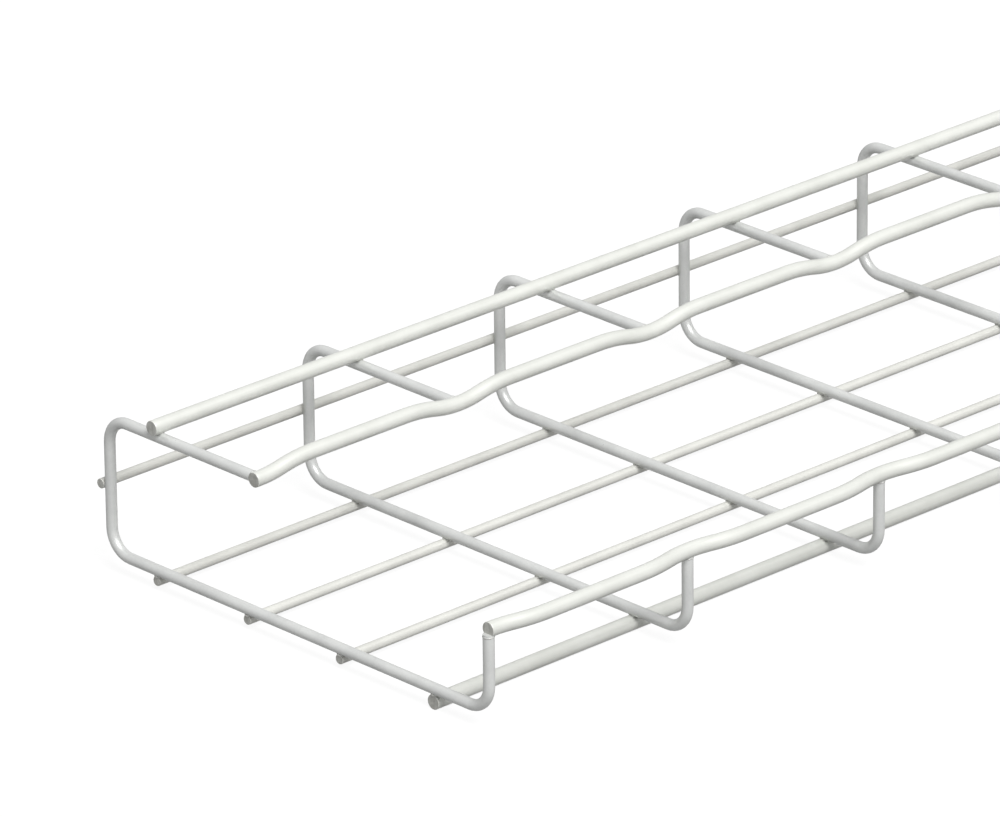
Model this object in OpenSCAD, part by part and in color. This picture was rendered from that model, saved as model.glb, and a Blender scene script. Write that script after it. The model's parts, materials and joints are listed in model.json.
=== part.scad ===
// Length of welded wire mesh cable basket with a G-shaped section.
// Bent cross wires carry straight wires on their outside. The two long edges are wavy
// wires: the cross wires butt against their dips, so no cut end points into the basket.
// X runs across the basket, Y along it and Z up. The basket stands on its floor wires.

/* [Section] */
// Inside width, between the tall side and the low side
inner_w = 199.8; // [130:0.1:500]
// Inside height, from the floor up to the flange
inner_h = 50; // [45:1:110]
// Reach of the flange, from the centre of the tall side to the centre of the lip wire
flange_reach = 82.5; // [50:0.5:110]
// Height of the low side, from the centre of the floor to the centre of the rim wire
rim_h = 32.4; // [24:0.1:45]
// Radius of the bends in the cross wires, at the centre of the wire
bend_r = 10; // [6:0.5:14]

/* [Length] */
// Distance between cross wires
pitch = 100; // [75:1:150]
// Number of cross wires
cross_count = 31; // [2:1:50]

/* [Wires] */
// Diameter of the cross wires
cross_d = 4.4; // [3.5:0.1:6]
// Diameter of the light straight wires, in the floor and the tall side
light_d = 3.9; // [3:0.1:6]
// Diameter of the heavy wires: lip, flange, base and rim
heavy_d = 5.9; // [4.5:0.1:8]
// How far a straight wire is pressed into each cross wire by its weld
weld_sink = 0.2; // [0.1:0.05:0.5]

/* [Straight wires] */
// First floor wire, from the centre of the tall side
floor_first = 25.8; // [16:0.1:40]
// Distance between floor wires
floor_pitch = 50; // [25:1:80]
// Wire in the tall side, above the centre of the floor
wall_wire_h = 26.7; // [16:0.1:38]
// Heavy wire on the flange, from the centre of the tall side
flange_wire_x = 28.5; // [18:0.1:45]

/* [Wavy wires] */
// Depth of each dip in the lip wire and the rim wire
dip_depth = 3; // [1:0.1:6]
// Radius of a dip, at the centre of the wire
dip_r = 50; // [30:1:70]
// Radius of the two shoulders beside a dip, at the centre of the wire
shoulder_r = 70; // [30:1:80]

/* [Wire ends] */
// How far the floor wires and the base wire pass the centre of the last cross wire
floor_stub = 1.2; // [0.5:0.1:20]
// The same for the wire in the tall side
wall_stub = 1.8; // [0.5:0.1:20]
// The same for the heavy wire on the flange
flange_stub = 4.2; // [0.5:0.1:20]
// The same for the lip wire
lip_stub = 2.4; // [0.3:0.1:5]
// The same for the rim wire
rim_stub = 0.3; // [0.3:0.1:5]

/* [Hidden] */
$fn = 48;

// Bright zinc on the wires along the basket, a shade darker on the cross wires
zinc = [0.85, 0.86, 0.84];
zinc_dark = [0.80, 0.81, 0.80];

// Centre lines of the bent cross wire, from the tall side and the floor
side_gap = inner_w + cross_d;
flange_z = inner_h + cross_d;

// Centre of a straight wire lies this far outside the centre of the cross wires
light_out = (cross_d + light_d) / 2 - weld_sink;
heavy_out = (cross_d + heavy_d) / 2 - weld_sink;

// Floor wires that fit between the bends; the last one is the heavy base wire
floor_count = floor((side_gap - bend_r - floor_first) / floor_pitch) + 1;

// A dip is one arc with a shoulder arc on each side, tangent to each other
dip_angle = acos(1 - dip_depth / (dip_r + shoulder_r));
dip_half = (dip_r + shoulder_r) * sin(dip_angle);

// The pieces of a wavy wire stop this far from where they meet, in a ball that stands this
// much proud of them, so that the wire is one solid without faces that lie on each other
joint_gap = 0.1;
joint_proud = 0.02;

// Places of the cross wires, with the middle of the length at Y = 0
half_l = (cross_count - 1) * pitch / 2;
function cross_y(i) = (i - 1) * pitch - half_l;

// Outside of the section, which puts the origin at the bottom in the middle
left_x = -light_out - light_d / 2;
right_x = side_gap + dip_depth + heavy_d / 2;
bottom_z = -heavy_out - heavy_d / 2;

// Puts the section's own zero, where the two centre lines would cross, in its place
module placed() {
    translate([-(left_x + right_x) / 2, 0, -bottom_z]) children();
}

// Places of the wires along Y in the section. The lip wire and the rim wire are turned so
// that their dips go into the mesh.
module at_lip() {
    translate([flange_reach, 0, flange_z]) children();
}
module at_flange() {
    translate([flange_wire_x, 0, flange_z + heavy_out]) children();
}
module at_wall() {
    translate([-light_out, 0, wall_wire_h]) children();
}
module at_floor(i) {
    translate([floor_first + (i - 1) * floor_pitch, 0, -light_out]) children();
}
module at_base() {
    translate([floor_first + (floor_count - 1) * floor_pitch, 0, -heavy_out]) children();
}
module at_rim() {
    translate([side_gap, 0, rim_h]) rotate([0, 90, 0]) children();
}

// Straight wire along Y, centred on the origin
module rod(d, l) {
    rotate([90, 0, 0]) cylinder(h = l, d = d, center = true);
}

// Length of a straight wire that passes the last cross wires by its stub
function straight_l(stub) = 2 * (half_l + stub);

// Arc of wire in the YZ plane, tangent to Y at its lowest point, which lies at the origin.
// It runs between two angles about its centre above, positive toward Y.
module arc(d, r, from, to) {
    translate([0, 0, r])
        rotate([from, 0, 0])
            rotate([0, 90, 0])
                rotate_extrude(angle = to - from)
                    translate([r, 0])
                        circle(d = d);
}

// Ball that joins two pieces of wire whose ends stop just short of its centre
module joint(d) {
    sphere(d = d + 2 * joint_proud);
}

// Rise of the wire on the side of positive Y: the shoulder's arc and the joint at each end
module shoulder(d) {
    gap = joint_gap / shoulder_r * 180 / PI;
    translate([0, dip_half, dip_depth]) {
        mirror([0, 0, 1]) arc(d, shoulder_r, gap - dip_angle, -gap);
        joint(d);
    }
    translate([0, dip_r * sin(dip_angle), dip_r * (1 - cos(dip_angle))]) joint(d);
}

// Wavy wire along Y that dips to Z = 0 at every cross wire. Its ends are cut in a dip, a
// stub past the first and the last cross wire.
module wavy_wire(d, stub) {
    full = dip_angle - joint_gap / dip_r * 180 / PI;
    end = asin(stub / dip_r);
    for (i = [1 : cross_count])
        translate([0, cross_y(i), 0]) {
            arc(d, dip_r, i == 1 ? -end : -full, i == cross_count ? end : full);
            if (i > 1)
                mirror([0, 1, 0]) shoulder(d);
            if (i < cross_count)
                shoulder(d);
        }
    for (i = [1 : cross_count - 1])
        translate([0, cross_y(i) + pitch / 2, dip_depth])
            rod(d, pitch - 2 * dip_half - 2 * joint_gap);
}

// Quarter bend of the cross wire in the XZ plane, from an angle that is measured from X
module bend(from) {
    rotate([90, 0, 0])
        rotate([0, 0, from])
            rotate_extrude(angle = 90)
                translate([bend_r, 0])
                    circle(d = cross_d);
}

// Straight pieces of the cross wire from a point, along X and along Z
module run_x(x, z, l) {
    translate([x, 0, z]) rotate([0, 90, 0]) cylinder(h = l, d = cross_d);
}
module run_z(x, z, l) {
    translate([x, 0, z]) cylinder(h = l, d = cross_d);
}

// The bent cross wire, with its two ends still reaching the centres of the wavy wires
module bent_wire() {
    run_x(bend_r, flange_z, flange_reach - bend_r);
    translate([bend_r, 0, flange_z - bend_r]) bend(90);
    run_z(0, bend_r, flange_z - 2 * bend_r);
    translate([bend_r, 0, bend_r]) bend(180);
    run_x(bend_r, 0, side_gap - 2 * bend_r);
    translate([side_gap - bend_r, 0, bend_r]) bend(270);
    run_z(side_gap, bend_r, rim_h - bend_r);
}

// What the welds press into one cross wire: the straight wires that cross it
module weld_seats() {
    seat_l = 2 * cross_d;
    at_flange() rod(heavy_d, seat_l);
    at_wall() rod(light_d, seat_l);
    for (i = [1 : floor_count - 1])
        at_floor(i) rod(light_d, seat_l);
    at_base() rod(heavy_d, seat_l);
}

// Cross wire with weld seats and with both ends shaped to the wavy wires that they butt on
module cross_wire(i) {
    color(zinc_dark)
        placed()
            translate([0, cross_y(i), 0])
                difference() {
                    bent_wire();
                    at_lip() arc(heavy_d, dip_r, -dip_angle, dip_angle);
                    at_rim() arc(heavy_d, dip_r, -dip_angle, dip_angle);
                    weld_seats();
                }
}

module lip_wire() {
    color(zinc) placed() at_lip() wavy_wire(heavy_d, lip_stub);
}

module flange_wire() {
    color(zinc) placed() at_flange() rod(heavy_d, straight_l(flange_stub));
}

module wall_wire() {
    color(zinc) placed() at_wall() rod(light_d, straight_l(wall_stub));
}

module floor_wire(i) {
    color(zinc) placed() at_floor(i) rod(light_d, straight_l(floor_stub));
}

module base_wire() {
    color(zinc) placed() at_base() rod(heavy_d, straight_l(floor_stub));
}

module rim_wire() {
    color(zinc) placed() at_rim() wavy_wire(heavy_d, rim_stub);
}

lip_wire();
flange_wire();
wall_wire();
for (i = [1 : floor_count - 1])
    floor_wire(i);
base_wire();
rim_wire();
for (i = [1 : cross_count])
    cross_wire(i);
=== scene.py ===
import bpy
import bmesh
import json
from math import radians, acos, sin, pi
from mathutils import Matrix, Vector

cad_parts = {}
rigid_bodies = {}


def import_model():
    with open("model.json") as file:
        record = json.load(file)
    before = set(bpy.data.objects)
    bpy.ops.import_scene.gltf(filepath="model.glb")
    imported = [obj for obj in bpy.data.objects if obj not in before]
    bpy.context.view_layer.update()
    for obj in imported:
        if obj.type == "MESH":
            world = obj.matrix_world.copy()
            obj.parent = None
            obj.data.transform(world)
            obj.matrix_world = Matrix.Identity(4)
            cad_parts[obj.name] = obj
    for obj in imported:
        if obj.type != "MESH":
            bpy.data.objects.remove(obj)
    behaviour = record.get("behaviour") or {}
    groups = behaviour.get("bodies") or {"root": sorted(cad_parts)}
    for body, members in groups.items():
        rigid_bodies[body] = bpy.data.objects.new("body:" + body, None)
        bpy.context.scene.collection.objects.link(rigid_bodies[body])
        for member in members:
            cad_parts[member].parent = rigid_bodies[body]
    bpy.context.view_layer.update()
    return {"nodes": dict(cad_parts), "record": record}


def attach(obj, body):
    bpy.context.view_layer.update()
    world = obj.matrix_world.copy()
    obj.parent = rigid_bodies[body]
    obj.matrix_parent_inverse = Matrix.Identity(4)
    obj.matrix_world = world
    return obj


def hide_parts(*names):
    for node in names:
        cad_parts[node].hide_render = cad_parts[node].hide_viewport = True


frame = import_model()
print("frame loaded:", len(frame["nodes"]), "nodes")

# the section, in metres, from the centre lines of the tall side and the floor
basket = {
    "sideGap": 0.2042,
    "flangeHeight": 0.0544,
    "flangeReach": 0.0825,
    "rimHeight": 0.0324,
    "bendRadius": 0.010,
    "crossRadius": 0.0022,
    "lightRadius": 0.00195,
    "heavyRadius": 0.00295,
    "weldSink": 0.0002,
    "pitch": 0.1,
    "crossCount": 31,
    "middleX": 0.102125,      # section zero to the middle of the width
    "floorHeight": 0.0079,    # section zero to the ground
}
halfLength = (basket["crossCount"] - 1) * basket["pitch"] / 2
lightOut = basket["crossRadius"] + basket["lightRadius"] - basket["weldSink"]
heavyOut = basket["crossRadius"] + basket["heavyRadius"] - basket["weldSink"]


def spot(x, y, z):
    return Vector((x - basket["middleX"], y, z + basket["floorHeight"]))


def clearSelection():
    if bpy.context.object and bpy.context.object.mode != "OBJECT":
        bpy.ops.object.mode_set(mode="OBJECT")
    bpy.ops.object.select_all(action="DESELECT")


def addNode(tree, kind, at, **settings):
    node = tree.nodes.new(kind)
    node.location = at
    for key, value in settings.items():
        setattr(node, key, value)
    return node


def makeZincGroup():
    # cloudy plated zinc with drawing lines, as colour, roughness and height
    group = bpy.data.node_groups.new("platedZinc", "ShaderNodeTree")
    face = group.interface
    for name, kind, value in (
        ("Bright Zinc", "NodeSocketColor", (0.8, 0.8, 0.8, 1)),
        ("Dull Zinc", "NodeSocketColor", (0.6, 0.6, 0.6, 1)),
        ("Cloud Scale", "NodeSocketFloat", 60.0),
        ("Line Direction", "NodeSocketVector", (1.0, 1.0, 1.0)),
        ("Line Scale", "NodeSocketFloat", 900.0),
        ("Line Strength", "NodeSocketFloat", 0.3),
        ("Lowest Roughness", "NodeSocketFloat", 0.3),
        ("Highest Roughness", "NodeSocketFloat", 0.5),
    ):
        socket = face.new_socket(name=name, in_out="INPUT", socket_type=kind)
        socket.default_value = value
    face.new_socket(name="Base Color", in_out="OUTPUT", socket_type="NodeSocketColor")
    face.new_socket(name="Roughness", in_out="OUTPUT", socket_type="NodeSocketFloat")
    face.new_socket(name="Height", in_out="OUTPUT", socket_type="NodeSocketFloat")

    start = addNode(group, "NodeGroupInput", (-1100, 0))
    end = addNode(group, "NodeGroupOutput", (700, 0))
    where = addNode(group, "ShaderNodeTexCoord", (-1100, -300))
    link = group.links.new

    clouds = addNode(group, "ShaderNodeTexNoise", (-700, 200))
    clouds.inputs["Detail"].default_value = 4.0
    clouds.inputs["Roughness"].default_value = 0.62
    link(where.outputs["Object"], clouds.inputs["Vector"])
    link(start.outputs["Cloud Scale"], clouds.inputs["Scale"])
    cloudStep = addNode(group, "ShaderNodeMapRange", (-500, 200))
    cloudStep.inputs["From Min"].default_value = 0.35
    cloudStep.inputs["From Max"].default_value = 0.68
    link(clouds.outputs["Fac"], cloudStep.inputs["Value"])

    along = addNode(group, "ShaderNodeVectorMath", (-900, -300), operation="MULTIPLY")
    link(where.outputs["Object"], along.inputs[0])
    link(start.outputs["Line Direction"], along.inputs[1])
    lines = addNode(group, "ShaderNodeTexNoise", (-700, -250))
    lines.inputs["Detail"].default_value = 3.0
    lines.inputs["Roughness"].default_value = 0.7
    link(along.outputs["Vector"], lines.inputs["Vector"])
    link(start.outputs["Line Scale"], lines.inputs["Scale"])
    lineStep = addNode(group, "ShaderNodeMapRange", (-500, -250))
    lineStep.inputs["From Min"].default_value = 0.3
    lineStep.inputs["From Max"].default_value = 0.7
    link(lines.outputs["Fac"], lineStep.inputs["Value"])

    grain = addNode(group, "ShaderNodeTexNoise", (-700, -550))
    grain.inputs["Scale"].default_value = 2600.0
    grain.inputs["Detail"].default_value = 2.0
    link(where.outputs["Object"], grain.inputs["Vector"])

    lineShare = addNode(group, "ShaderNodeMath", (-300, -250), operation="MULTIPLY")
    link(lineStep.outputs["Result"], lineShare.inputs[0])
    link(start.outputs["Line Strength"], lineShare.inputs[1])
    tone = addNode(group, "ShaderNodeMath", (-100, 50), operation="MULTIPLY_ADD", use_clamp=True)
    link(cloudStep.outputs["Result"], tone.inputs[0])
    tone.inputs[1].default_value = 0.7
    link(lineShare.outputs["Value"], tone.inputs[2])

    colour = addNode(group, "ShaderNodeMix", (150, 150), data_type="RGBA")
    link(tone.outputs["Value"], colour.inputs["Factor"])
    link(start.outputs["Bright Zinc"], colour.inputs[6])
    link(start.outputs["Dull Zinc"], colour.inputs[7])
    link(colour.outputs[2], end.inputs["Base Color"])

    rough = addNode(group, "ShaderNodeMapRange", (150, -100))
    link(tone.outputs["Value"], rough.inputs["Value"])
    link(start.outputs["Lowest Roughness"], rough.inputs["To Min"])
    link(start.outputs["Highest Roughness"], rough.inputs["To Max"])
    link(rough.outputs["Result"], end.inputs["Roughness"])

    height = addNode(group, "ShaderNodeMath", (150, -350), operation="MULTIPLY_ADD")
    link(grain.outputs["Fac"], height.inputs[0])
    height.inputs[1].default_value = 0.35
    link(lineShare.outputs["Value"], height.inputs[2])
    link(height.outputs["Value"], end.inputs["Height"])
    return group


zincGroup = makeZincGroup()


alongWire = (1.0, 0.012, 1.0)     # stretches the drawing lines along Y
everyWay = (1.0, 1.0, 1.0)
zincFinishes = {
    "heavyWireZinc": {
        "bright": (0.85, 0.86, 0.815), "dull": (0.74, 0.75, 0.705),
        "lineDirection": alongWire, "lineStrength": 0.40,
        "roughness": (0.30, 0.46), "metallic": 0.24, "cloudScale": 55.0, "bump": 0.00002,
    },
    "lightWireZinc": {
        "bright": (0.82, 0.82, 0.775), "dull": (0.69, 0.69, 0.65),
        "lineDirection": alongWire, "lineStrength": 0.45,
        "roughness": (0.32, 0.48), "metallic": 0.24, "cloudScale": 55.0, "bump": 0.00002,
    },
    "crossWireZinc": {
        "bright": (0.80, 0.81, 0.795), "dull": (0.66, 0.67, 0.66),
        "lineDirection": everyWay, "lineStrength": 0.25,
        "roughness": (0.27, 0.42), "metallic": 0.30, "cloudScale": 55.0, "bump": 0.00002,
    },
    "weldZinc": {
        "bright": (0.72, 0.72, 0.69), "dull": (0.56, 0.56, 0.54),
        "lineDirection": everyWay, "lineStrength": 0.5,
        "roughness": (0.42, 0.60), "metallic": 0.35, "cloudScale": 400.0, "bump": 0.00006,
    },
    "cutEndZinc": {
        "bright": (0.64, 0.64, 0.61), "dull": (0.46, 0.46, 0.43),
        "lineDirection": (1.0, 1.0, 0.08), "lineStrength": 0.8,
        "roughness": (0.40, 0.58), "metallic": 0.4, "cloudScale": 500.0, "bump": 0.00008,
    },
}


def makeZinc(name):
    values = zincFinishes[name]
    material = bpy.data.materials.new(name)
    material.use_nodes = True
    tree = material.node_tree
    shader = tree.nodes["Principled BSDF"]
    shader.inputs["Metallic"].default_value = values["metallic"]
    shader.inputs["Specular IOR Level"].default_value = 0.15
    shader.inputs["Specular Tint"].default_value = (0.55, 0.56, 0.55, 1)
    zinc = addNode(tree, "ShaderNodeGroup", (-500, 100))
    zinc.node_tree = zincGroup
    for socket, value in (
        ("Bright Zinc", (*values["bright"], 1)),
        ("Dull Zinc", (*values["dull"], 1)),
        ("Cloud Scale", values["cloudScale"]),
        ("Line Direction", values["lineDirection"]),
        ("Line Strength", values["lineStrength"]),
        ("Lowest Roughness", values["roughness"][0]),
        ("Highest Roughness", values["roughness"][1]),
    ):
        zinc.inputs[socket].default_value = value
    bumpNode = addNode(tree, "ShaderNodeBump", (-250, -150))
    bumpNode.inputs["Strength"].default_value = 0.5
    bumpNode.inputs["Distance"].default_value = values["bump"]
    tree.links.new(zinc.outputs["Base Color"], shader.inputs["Base Color"])
    tree.links.new(zinc.outputs["Roughness"], shader.inputs["Roughness"])
    tree.links.new(zinc.outputs["Height"], bumpNode.inputs["Height"])
    tree.links.new(bumpNode.outputs["Normal"], shader.inputs["Normal"])
    return material


heavyZinc = makeZinc("heavyWireZinc")
lightZinc = makeZinc("lightWireZinc")
crossZinc = makeZinc("crossWireZinc")
weldZinc = makeZinc("weldZinc")
cutZinc = makeZinc("cutEndZinc")
print("materials made")


def startRing(name, radius, at, turn, sides):
    clearSelection()
    bpy.ops.mesh.primitive_circle_add(
        vertices=sides, radius=radius, fill_type="NOTHING", location=at, rotation=turn)
    wire = bpy.context.object
    wire.name = name
    wire.data.name = name
    bpy.ops.object.transform_apply(location=True, rotation=True, scale=True)
    bpy.ops.object.mode_set(mode="EDIT")
    bpy.ops.mesh.select_mode(type="VERT")
    bpy.ops.mesh.select_all(action="SELECT")
    return wire


def pull(step):
    bpy.ops.mesh.extrude_region_move(TRANSFORM_OT_translate={"value": tuple(step)})


def sweep(centre, axis, angle, steps):
    # spin counts its angle the other way round its axis
    bpy.ops.mesh.spin(steps=steps, angle=-angle, center=tuple(centre), axis=tuple(axis))


def selectWhere(wire, test):
    shape = bmesh.from_edit_mesh(wire.data)
    for element in (*shape.verts, *shape.edges, *shape.faces):
        element.select = False
    for vertex in shape.verts:
        vertex.select = test(vertex.co)
    shape.select_flush(True)
    bmesh.update_edit_mesh(wire.data)


cutEnd = {"rim": 0.00028, "rimSteps": 3, "nibShare": 0.42, "nibHeight": 0.00012}


def shapeCutEnd(wire, y, radius):
    # the sheared end: a rounded rim and a slightly raised middle
    selectWhere(wire, lambda co: abs(co.y - y) < 5e-6)
    bpy.ops.mesh.edge_face_add()
    bpy.ops.mesh.bevel(offset=cutEnd["rim"], segments=cutEnd["rimSteps"], affect="EDGES")
    selectWhere(wire, lambda co: abs(co.y - y) < 5e-6)
    bpy.ops.mesh.inset(thickness=radius * cutEnd["nibShare"], depth=0.0)
    bpy.ops.transform.translate(value=(0, -cutEnd["nibHeight"] if y > 0 else cutEnd["nibHeight"], 0))


def finishWire(wire, material, nodeName):
    bpy.ops.mesh.select_all(action="SELECT")
    bpy.ops.mesh.normals_make_consistent(inside=False)
    bpy.ops.object.mode_set(mode="OBJECT")
    wire.data.materials.append(material)
    wire.data.materials.append(cutZinc)
    for polygon in wire.data.polygons:
        if abs(polygon.normal.y) > 0.8 and abs(polygon.center.y) > halfLength:
            polygon.material_index = 1
    bpy.ops.object.shade_smooth_by_angle(angle=radians(40))
    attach(wire, "root")
    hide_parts(nodeName)


straightWires = {
    "flangeWire": {
        "node": "flange_wire", "heavy": True, "stub": 0.0042,
        "x": 0.0285, "z": basket["flangeHeight"] + heavyOut,
    },
    "wallWire": {"node": "wall_wire", "heavy": False, "stub": 0.0018, "x": -lightOut, "z": 0.0267},
    "floorWire1": {"node": "floor_wire_1", "heavy": False, "stub": 0.0012, "x": 0.0258, "z": -lightOut},
    "floorWire2": {"node": "floor_wire_2", "heavy": False, "stub": 0.0012, "x": 0.0758, "z": -lightOut},
    "floorWire3": {"node": "floor_wire_3", "heavy": False, "stub": 0.0012, "x": 0.1258, "z": -lightOut},
    "baseWire": {"node": "base_wire", "heavy": True, "stub": 0.0012, "x": 0.1758, "z": -heavyOut},
}
wireSides = 32


def makeStraightWire(name, values):
    radius = basket["heavyRadius"] if values["heavy"] else basket["lightRadius"]
    reach = halfLength + values["stub"]
    wire = startRing(name, radius, spot(values["x"], -reach, values["z"]), (radians(90), 0, 0), wireSides)
    pull((0, values["stub"], 0))
    for step in range(basket["crossCount"] - 1):
        pull((0, basket["pitch"], 0))
    pull((0, values["stub"], 0))
    for y in (-reach, reach):
        shapeCutEnd(wire, y, radius)
    if values["heavy"]:
        finishWire(wire, heavyZinc, values["node"])
    else:
        finishWire(wire, lightZinc, values["node"])
    return wire


for wireName, wireValues in straightWires.items():
    makeStraightWire(wireName, wireValues)
print("straight wires made:", len(straightWires))


wavyWire = {
    "dip": 0.003,
    "dipRadius": 0.05,
    "shoulderRadius": 0.07,
    "dipSteps": 5,
    "shoulderSteps": 6,
    "lipStub": 0.0024,
    "rimStub": 0.0003,
    "sides": 28,
}


def makeWavyWire(name, nodeName, at, out, stub):
    # at is the bottom of the first dip, out is where the wire stands away between the dips
    dip, dipRadius, shoulderRadius = wavyWire["dip"], wavyWire["dipRadius"], wavyWire["shoulderRadius"]
    angle = acos(1 - dip / (dipRadius + shoulderRadius))
    dipHalf = (dipRadius + shoulderRadius) * sin(angle)
    axis = Vector((0, 1, 0)).cross(out)
    wire = startRing(name, basket["heavyRadius"], at, (radians(90), 0, 0), wavyWire["sides"])
    nextDip = at + Vector((0, basket["pitch"], 0))
    sweep(at + out * dipRadius, axis, angle, wavyWire["dipSteps"])
    firstShoulder = at + Vector((0, dipHalf, 0)) + out * (dip - shoulderRadius)
    lastShoulder = nextDip - Vector((0, dipHalf, 0)) + out * (dip - shoulderRadius)
    sweep(firstShoulder, axis, -angle, wavyWire["shoulderSteps"])
    pull((0, basket["pitch"] - 2 * dipHalf, 0))
    sweep(lastShoulder, axis, -angle, wavyWire["shoulderSteps"])
    sweep(nextDip + out * dipRadius, axis, angle, wavyWire["dipSteps"])
    bpy.ops.object.mode_set(mode="OBJECT")
    waves = wire.modifiers.new("waves", "ARRAY")
    waves.count = basket["crossCount"] - 1
    waves.use_relative_offset = False
    waves.use_constant_offset = True
    waves.constant_offset_displace = (0, basket["pitch"], 0)
    waves.use_merge_vertices = True
    waves.merge_threshold = 0.00002
    bpy.ops.object.modifier_apply(modifier="waves")
    bpy.ops.object.mode_set(mode="EDIT")
    for side in (-1, 1):
        selectWhere(wire, lambda co: abs(co.y - side * halfLength) < 5e-6)
        pull((0, side * stub, 0))
        shapeCutEnd(wire, side * (halfLength + stub), basket["heavyRadius"])
    finishWire(wire, heavyZinc, nodeName)
    return wire


makeWavyWire("lipWire", "lip_wire", spot(basket["flangeReach"], -halfLength, basket["flangeHeight"]),
             Vector((0, 0, 1)), wavyWire["lipStub"])
makeWavyWire("rimWire", "rim_wire", spot(basket["sideGap"], -halfLength, basket["rimHeight"]),
             Vector((1, 0, 0)), wavyWire["rimStub"])
print("wavy wires made")


crossWire = {
    "sides": 24,
    "bendSteps": 10,
    "bite": 0.0012,    # how far its ends go into the edge wires
}


def makeCrossWire():
    bend = basket["bendRadius"]
    top = basket["rimHeight"] - basket["heavyRadius"] + crossWire["bite"]
    start = spot(basket["sideGap"], -halfLength, top)
    wire = startRing("crossWire", basket["crossRadius"], start, (0, 0, 0), crossWire["sides"])
    corner = (0, 1, 0)
    pull((0, 0, bend - top))
    sweep(spot(basket["sideGap"] - bend, -halfLength, bend), corner, pi / 2, crossWire["bendSteps"])
    pull((2 * bend - basket["sideGap"], 0, 0))
    sweep(spot(bend, -halfLength, bend), corner, pi / 2, crossWire["bendSteps"])
    pull((0, 0, basket["flangeHeight"] - 2 * bend))
    sweep(spot(bend, -halfLength, basket["flangeHeight"] - bend), corner, pi / 2, crossWire["bendSteps"])
    pull((basket["flangeReach"] - basket["heavyRadius"] + crossWire["bite"] - bend, 0, 0))
    bpy.ops.mesh.edge_face_add()
    selectWhere(wire, lambda co: abs(co.z - top - basket["floorHeight"]) < 5e-6 and co.x > 0.05)
    bpy.ops.mesh.edge_face_add()
    bpy.ops.mesh.select_all(action="SELECT")
    bpy.ops.mesh.normals_make_consistent(inside=False)
    bpy.ops.object.mode_set(mode="OBJECT")
    wire.data.materials.append(crossZinc)
    bpy.ops.object.shade_smooth_by_angle(angle=radians(40))
    return wire


firstCross = makeCrossWire()
for number in range(1, basket["crossCount"] + 1):
    if number == 1:
        piece = firstCross
    else:
        piece = firstCross.copy()
        piece.data = firstCross.data.copy()
        piece.data.transform(Matrix.Translation((0, (number - 1) * basket["pitch"], 0)))
        bpy.context.scene.collection.objects.link(piece)
    piece.name = f"crossWire{number}"
    piece.data.name = piece.name
for number in range(1, basket["crossCount"] + 1):
    piece = bpy.data.objects[f"crossWire{number}"]
    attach(piece, "root")
    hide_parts(f"cross_wire_{number}")
print("cross wires made:", basket["crossCount"])


weld = {
    "radius": 0.00175,
    "flat": 0.42,          # thickness as a share of the width
    "buttRadius": 0.00236,
    "buttFlat": 0.36,
    "buttSink": 0.0002,    # how far a butt weld lies inside the edge wire
    "unevenness": 0.05,
    "segments": 18,
    "rings": 10,
}


def makeWelds(name, at, radius, shares):
    # one nugget in the crevice between two wires, repeated at every cross wire
    clearSelection()
    bpy.ops.mesh.primitive_uv_sphere_add(
        segments=weld["segments"], ring_count=weld["rings"], radius=radius, location=at)
    nugget = bpy.context.object
    nugget.name = name
    nugget.data.name = name
    bpy.ops.object.transform_apply(location=True, rotation=True, scale=True)
    bpy.ops.object.mode_set(mode="EDIT")
    bpy.ops.mesh.select_all(action="SELECT")
    bpy.ops.transform.resize(value=shares, center_override=tuple(at))
    bpy.ops.transform.vertex_random(offset=radius * weld["unevenness"], seed=7)
    bpy.ops.object.mode_set(mode="OBJECT")
    row = nugget.modifiers.new("row", "ARRAY")
    row.count = basket["crossCount"]
    row.use_relative_offset = False
    row.use_constant_offset = True
    row.constant_offset_displace = (0, basket["pitch"], 0)
    bpy.ops.object.modifier_apply(modifier="row")
    nugget.data.materials.append(weldZinc)
    bpy.ops.object.shade_smooth()
    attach(nugget, "root")
    return nugget


touch = basket["crossRadius"] - basket["weldSink"] / 2
upright = (1, 1, weld["flat"])
sideways = (weld["flat"], 1, 1)
makeWelds("flangeWelds", spot(straightWires["flangeWire"]["x"], -halfLength, basket["flangeHeight"] + touch),
          weld["radius"], upright)
makeWelds("wallWelds", spot(-touch, -halfLength, straightWires["wallWire"]["z"]),
          weld["radius"], sideways)
for floorName in ("floorWire1", "floorWire2", "floorWire3", "baseWire"):
    makeWelds(floorName + "Welds", spot(straightWires[floorName]["x"], -halfLength, -touch),
              weld["radius"], upright)
buttAt = weld["buttSink"] - basket["heavyRadius"]
makeWelds("lipWelds", spot(basket["flangeReach"] + buttAt, -halfLength, basket["flangeHeight"]),
          weld["buttRadius"], (weld["buttFlat"], 1, 1))
makeWelds("rimWelds", spot(basket["sideGap"], -halfLength, basket["rimHeight"] + buttAt),
          weld["buttRadius"], (1, 1, weld["buttFlat"]))
print("welds made")

# the hidden CAD nodes get the same finishes
slotFinishes = {"heavy_wire": heavyZinc, "light_wire": lightZinc, "cross_wire": crossZinc}
for part in frame["record"]["subparts"]:
    node = frame["nodes"][part["node"]]
    node.data.materials.clear()
    node.data.materials.append(slotFinishes[part["material_slot"]])


studio = {
    "floorSize": 14.0,
    "floorTone": 0.12,
    "floorLift": 0.92,        # what the camera and reflections see on top of the lit floor
    "worldLight": 0.10,
    "sunPower": 3.4,
    "sunAngle": 34.0,
    "sunTurn": (10.0, 34.0, 0.0),
}


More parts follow.
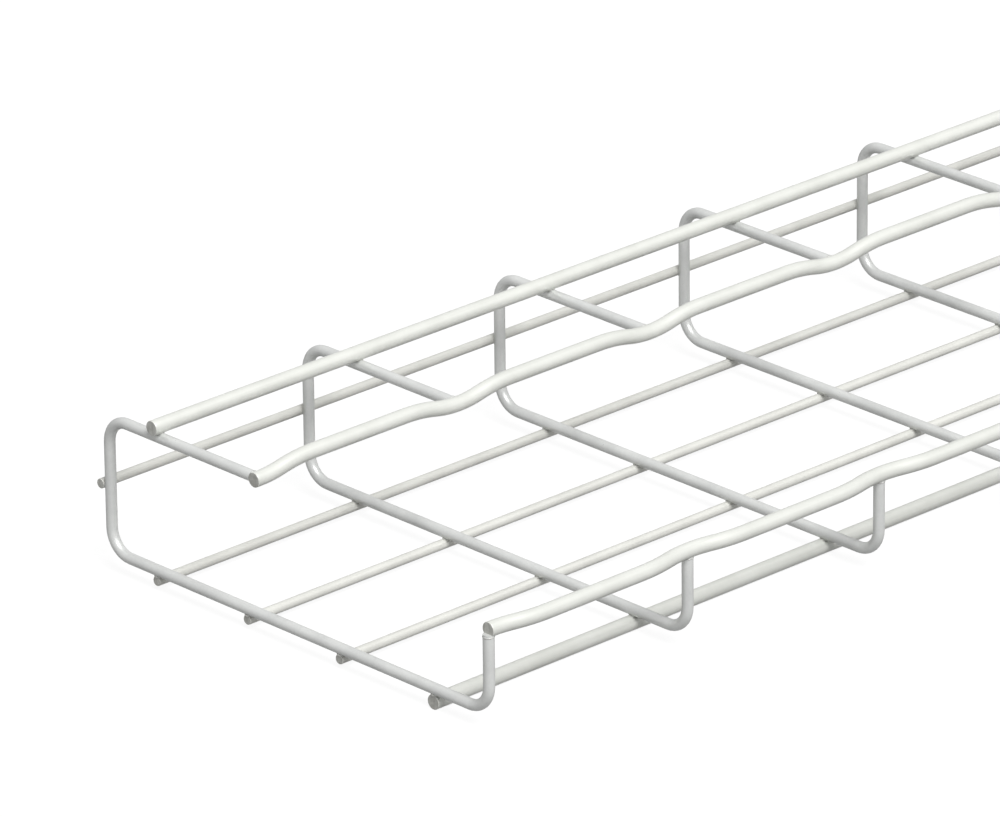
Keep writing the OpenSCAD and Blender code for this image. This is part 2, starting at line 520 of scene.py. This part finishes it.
def seenDirectly(tree, at):
    # 1 for camera, glossy and transmission rays
    path = addNode(tree, "ShaderNodeLightPath", at)
    first = addNode(tree, "ShaderNodeMath", (at[0] + 200, at[1]), operation="ADD", use_clamp=True)
    second = addNode(tree, "ShaderNodeMath", (at[0] + 400, at[1]), operation="ADD", use_clamp=True)
    tree.links.new(path.outputs["Is Camera Ray"], first.inputs[0])
    tree.links.new(path.outputs["Is Glossy Ray"], first.inputs[1])
    tree.links.new(first.outputs["Value"], second.inputs[0])
    tree.links.new(path.outputs["Is Transmission Ray"], second.inputs[1])
    return second.outputs["Value"]


clearSelection()
bpy.ops.mesh.primitive_plane_add(size=studio["floorSize"], location=(0, 0, 0))
floor = bpy.context.object
floor.name = "floor"
floorPaint = bpy.data.materials.new("paleFloor")
floorPaint.use_nodes = True
floorTree = floorPaint.node_tree
floorShader = floorTree.nodes["Principled BSDF"]
floorShader.inputs["Base Color"].default_value = (studio["floorTone"],) * 3 + (1,)
floorShader.inputs["Roughness"].default_value = 0.9
floorShader.inputs["Specular IOR Level"].default_value = 0.1
floorShader.inputs["Emission Color"].default_value = (1, 1, 1, 1)
floorSeen = seenDirectly(floorTree, (-900, -300))
floorLift = addNode(floorTree, "ShaderNodeMath", (-250, -300), operation="MULTIPLY")
floorLift.inputs[1].default_value = studio["floorLift"]
floorTree.links.new(floorSeen, floorLift.inputs[0])
floorTree.links.new(floorLift.outputs["Value"], floorShader.inputs["Emission Strength"])
floor.data.materials.append(floorPaint)

world = bpy.data.worlds.new("studio")
bpy.context.scene.world = world
world.use_nodes = True
worldTree = world.node_tree
backdrop = worldTree.nodes["Background"]
backdrop.inputs["Color"].default_value = (1, 1, 1, 1)
worldSeen = seenDirectly(worldTree, (-900, 0))
worldPower = addNode(worldTree, "ShaderNodeMapRange", (-250, 0))
worldPower.inputs["To Min"].default_value = studio["worldLight"]
worldPower.inputs["To Max"].default_value = 1.0
worldTree.links.new(worldSeen, worldPower.inputs["Value"])
worldTree.links.new(worldPower.outputs["Result"], backdrop.inputs["Strength"])

sunFacing = tuple(radians(angle) for angle in studio["sunTurn"])
bpy.ops.object.light_add(type="SUN", location=(0, 0, 3), rotation=sunFacing)
sun = bpy.context.object
sun.name = "softSun"
sun.data.energy = studio["sunPower"]
sun.data.angle = radians(studio["sunAngle"])

view = {
    "turn": 46.6347,
    "rise": 22.6796,
    "tilt": -0.6311,
    "aim": (-0.016901, -1.380782, 0.055528),
    "distance": 3.491226,
    "lens": 336.496,
}
camera = bpy.data.objects.new("camera", bpy.data.cameras.new("camera"))
bpy.context.scene.collection.objects.link(camera)
facing = (Matrix.Rotation(radians(view["turn"]), 3, "Z")
          @ Matrix.Rotation(radians(90 - view["rise"]), 3, "X")
          @ Matrix.Rotation(radians(view["tilt"]), 3, "Z"))
camera.location = Vector(view["aim"]) + facing @ Vector((0, 0, view["distance"]))
camera.rotation_euler = facing.to_euler()
camera.data.lens = view["lens"]
camera.data.sensor_width = 36.0
camera.data.sensor_fit = "HORIZONTAL"
camera.data.clip_start = 0.01
camera.data.clip_end = 60.0
bpy.context.scene.camera = camera
bpy.context.scene.view_settings.view_transform = "Standard"
print("studio and camera set")
